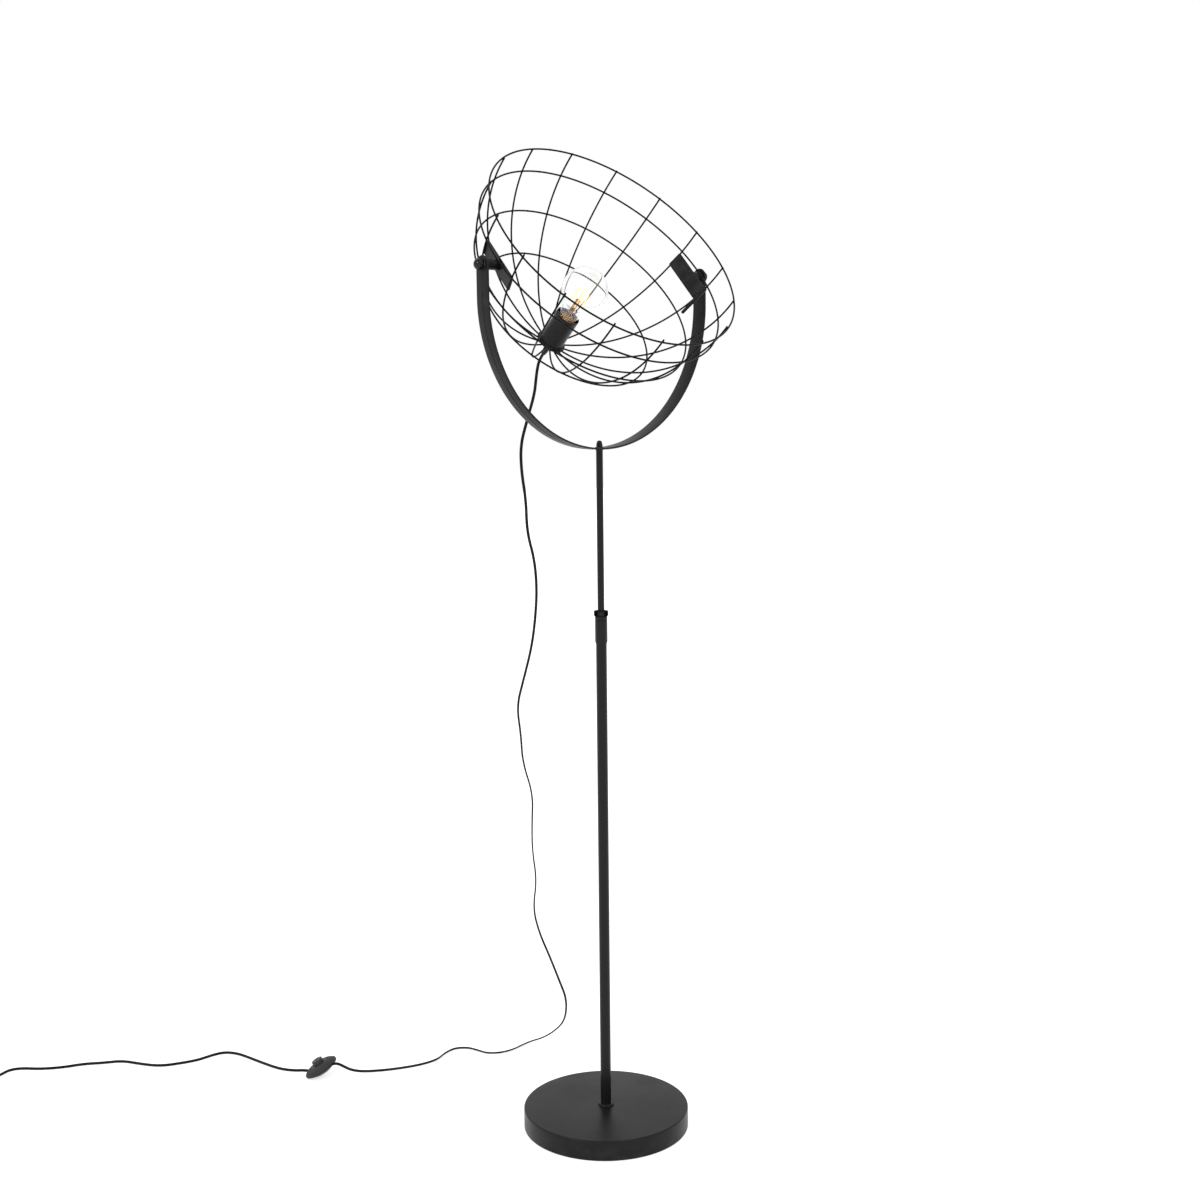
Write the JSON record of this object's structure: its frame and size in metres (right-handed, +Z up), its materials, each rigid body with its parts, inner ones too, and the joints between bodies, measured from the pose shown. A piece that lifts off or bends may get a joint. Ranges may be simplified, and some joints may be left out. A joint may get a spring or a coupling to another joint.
{
  "type": "wire cage floor lamp",
  "caption": "Floor lamp: a round weighted foot, a telescopic pole and a flat strip yoke that holds a tilting half-round cage of wire with a bare bulb.",
  "frame": {"origin": "centre of the foot's underside, on the floor", "axes": "+Z up along the pole; the shade's tilt axis lies along X; the shade opens up and towards -Y"},
  "size_m": [0.9141, 1.1118, 1.4627],
  "materials": {
    "black_paint": "satin black powder coat",
    "knob_metal": "black, turned and knurled",
    "cast_iron": "raw casting",
    "pad_felt": "dense felt",
    "zinc_steel": "zinc plated",
    "nylon": "natural nylon",
    "black_washer": "black fibre",
    "holder_plastic": "black, satin",
    "insert_ceramic": "white glaze",
    "contact_brass": "bright",
    "cap_metal": "rolled screw cap",
    "bulb_glass": "clear",
    "filament": "glowing",
    "cord_pvc": "black flat flex",
    "switch_plastic": "black",
    "plug_plastic": "black",
    "pin_nickel": "nickel plated"
  },
  "bodies": {
    "base": {"base_cover": "black_paint", "base_weight": "cast_iron", "base_pad": "pad_felt", "base_washer": "zinc_steel", "base_bolt": "zinc_steel", "foot_plug": "zinc_steel", "foot_ferrule": "black_paint", "lower_tube": "black_paint", "collar_bush": "nylon", "collar": "black_paint", "collet": "nylon", "cord_drop": "cord_pvc", "cord_tail": "cord_pvc", "cord_coil": "cord_pvc", "switch_base": "switch_plastic", "switch_cover": "switch_plastic", "switch_contacts": "contact_brass", "button_spring": "zinc_steel", "switch_screws": "zinc_steel", "plug_body": "plug_plastic", "plug_pins": "pin_nickel"},
    "clamp_ring": {"clamp_ring": "black_paint"},
    "mast": {"upper_tube": "black_paint", "tube_guide": "nylon", "swivel_stud": "zinc_steel", "swivel_washers": "black_washer", "cap_nut": "black_paint"},
    "yoke": {"yoke_strip": "black_paint", "cord_middle": "cord_pvc"},
    "shade": {"rim_ring": "black_paint", "upper_ring": "black_paint", "middle_ring": "black_paint", "lower_ring": "black_paint", "meridian_wires": "black_paint", "hub_plate": "black_paint", "right_plate": "black_paint", "left_plate": "black_paint", "right_boss": "black_paint", "left_boss": "black_paint", "friction_washers": "black_washer", "knob_washers": "zinc_steel", "plate_rod": "black_paint", "holder_shell": "holder_plastic", "holder_insert": "insert_ceramic", "screw_shell": "contact_brass", "centre_contact": "contact_brass", "nipple": "zinc_steel", "lock_nuts": "zinc_steel", "cord_grip": "holder_plastic", "bulb_glass": "bulb_glass", "bulb_cap": "cap_metal", "bulb_contact": "contact_brass", "bulb_stem": "bulb_glass", "filaments": "filament", "cord_upper": "cord_pvc"},
    "right_knob": {"right_knob": "knob_metal"},
    "left_knob": {"left_knob": "knob_metal"},
    "switch_button": {"switch_button": "switch_plastic"}
  },
  "joints": [
    {"name": "mast_slide", "type": "slide", "parent": "base", "child": "mast", "axis": [0, 0, 1], "range_m": [-0.23, 0.229], "deforming": ["cord_drop"]},
    {"name": "clamp_turn", "type": "hinge", "parent": "base", "child": "clamp_ring", "pos_m": [0, 0, 0.788], "axis": [0, 0, 1], "range_deg": [0, 270]},
    {"name": "yoke_swivel", "type": "hinge", "parent": "mast", "child": "yoke", "pos_m": [0, 0, 1.029], "axis": [0, 0, 1], "range_deg": [-60, 60], "deforming": ["cord_middle"]},
    {"name": "shade_tilt", "type": "hinge", "parent": "yoke", "child": "shade", "pos_m": [0, 0, 1.282], "axis": [1, 0, 0], "range_deg": [-46.7, 133.3], "deforming": ["cord_upper"]},
    {"name": "right_knob_turn", "type": "hinge", "parent": "shade", "child": "right_knob", "pos_m": [0.216, 0, 1.282], "axis": [1, 0, 0], "continuous": true},
    {"name": "left_knob_turn", "type": "hinge", "parent": "shade", "child": "left_knob", "pos_m": [-0.216, 0, 1.282], "axis": [1, 0, 0], "continuous": true},
    {"name": "switch_press", "type": "slide", "parent": "base", "child": "switch_button", "axis": [0.3557, -0.3294, -0.8746], "range_m": [0, 0.003], "stiffness_N_per_m": 800, "springref_m": -0.002, "deforming": ["button_spring"]}
  ]
}
